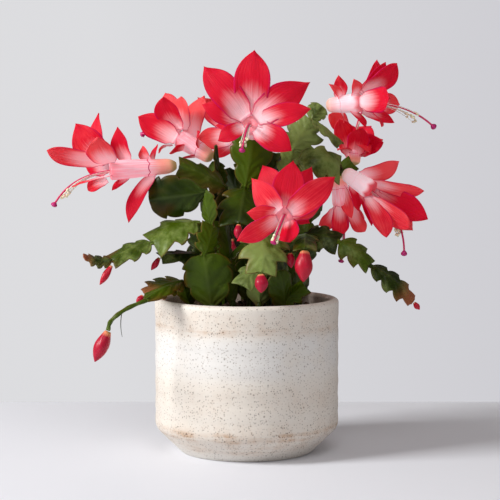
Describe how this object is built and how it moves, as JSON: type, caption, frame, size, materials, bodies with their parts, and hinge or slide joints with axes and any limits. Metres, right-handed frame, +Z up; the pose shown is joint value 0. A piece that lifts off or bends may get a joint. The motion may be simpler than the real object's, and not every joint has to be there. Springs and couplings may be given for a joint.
{
  "type": "potted christmas cactus",
  "caption": "Christmas cactus in flower, with arching flat leaf-like stem segments, red layered blooms and buds, in a straight round stoneware pot filled with potting mix.",
  "frame": {"origin": "centre of the flat underside of the pot, on the surface it stands on", "axes": "+Z up along the pot's axis; -Y towards the side that the flowers face most; +X to the right seen from there"},
  "size_m": [0.2466, 0.1775, 0.2592],
  "materials": {
    "pot": "satin cream glaze with fine brown specks and brushed tan bands",
    "soil": "matt, crumbly dark potting mix",
    "stem": "waxy, satin green",
    "petal": "soft satin, red paling to pinkish white at the foot",
    "stamen": "white filaments with pale yellow anthers",
    "pistil": "glossy magenta",
    "bud": "satin deep red with a paler foot"
  },
  "bodies": {
    "root": {"bloom_back": "petal", "bloom_back_pistil": "pistil", "bloom_back_stamens": "stamen", "bloom_front": "petal", "bloom_front_pistil": "pistil", "bloom_front_stamens": "stamen", "bloom_left": "petal", "bloom_left_pistil": "pistil", "bloom_left_stamens": "stamen", "bloom_right": "petal", "bloom_right_behind": "petal", "bloom_right_behind_pistil": "pistil", "bloom_right_behind_stamens": "stamen", "bloom_right_low": "petal", "bloom_right_low_pistil": "pistil", "bloom_right_low_stamens": "stamen", "bloom_right_pistil": "pistil", "bloom_right_stamens": "stamen", "bloom_top": "petal", "bloom_top_pistil": "pistil", "bloom_top_stamens": "stamen", "bloom_upper_left": "petal", "bloom_upper_left_pistil": "pistil", "bloom_upper_left_stamens": "stamen", "bloom_upper_right": "petal", "bloom_upper_right_pistil": "pistil", "bloom_upper_right_stamens": "stamen", "bud_back": "bud", "bud_back_left": "bud", "bud_centre": "bud", "bud_front": "bud", "bud_front_right": "bud", "bud_left_inner": "bud", "bud_left_tip": "bud", "bud_low_left": "bud", "bud_right_inner": "bud", "bud_right_tip": "bud", "bud_rim_left": "bud", "pot": "pot", "soil": "soil", "stem_back": "stem", "stem_back_left": "stem", "stem_back_right": "stem", "stem_centre_behind": "stem", "stem_front_bud": "stem", "stem_front_left": "stem", "stem_left_arch": "stem", "stem_left_bloom": "stem", "stem_low_left": "stem", "stem_right_behind": "stem", "stem_right_bloom": "stem", "stem_right_trailing": "stem", "stem_short_right": "stem", "stem_top_bloom": "stem", "stem_upper_left_bloom": "stem", "stem_upper_right_bloom": "stem"}
  },
  "joints": []
}
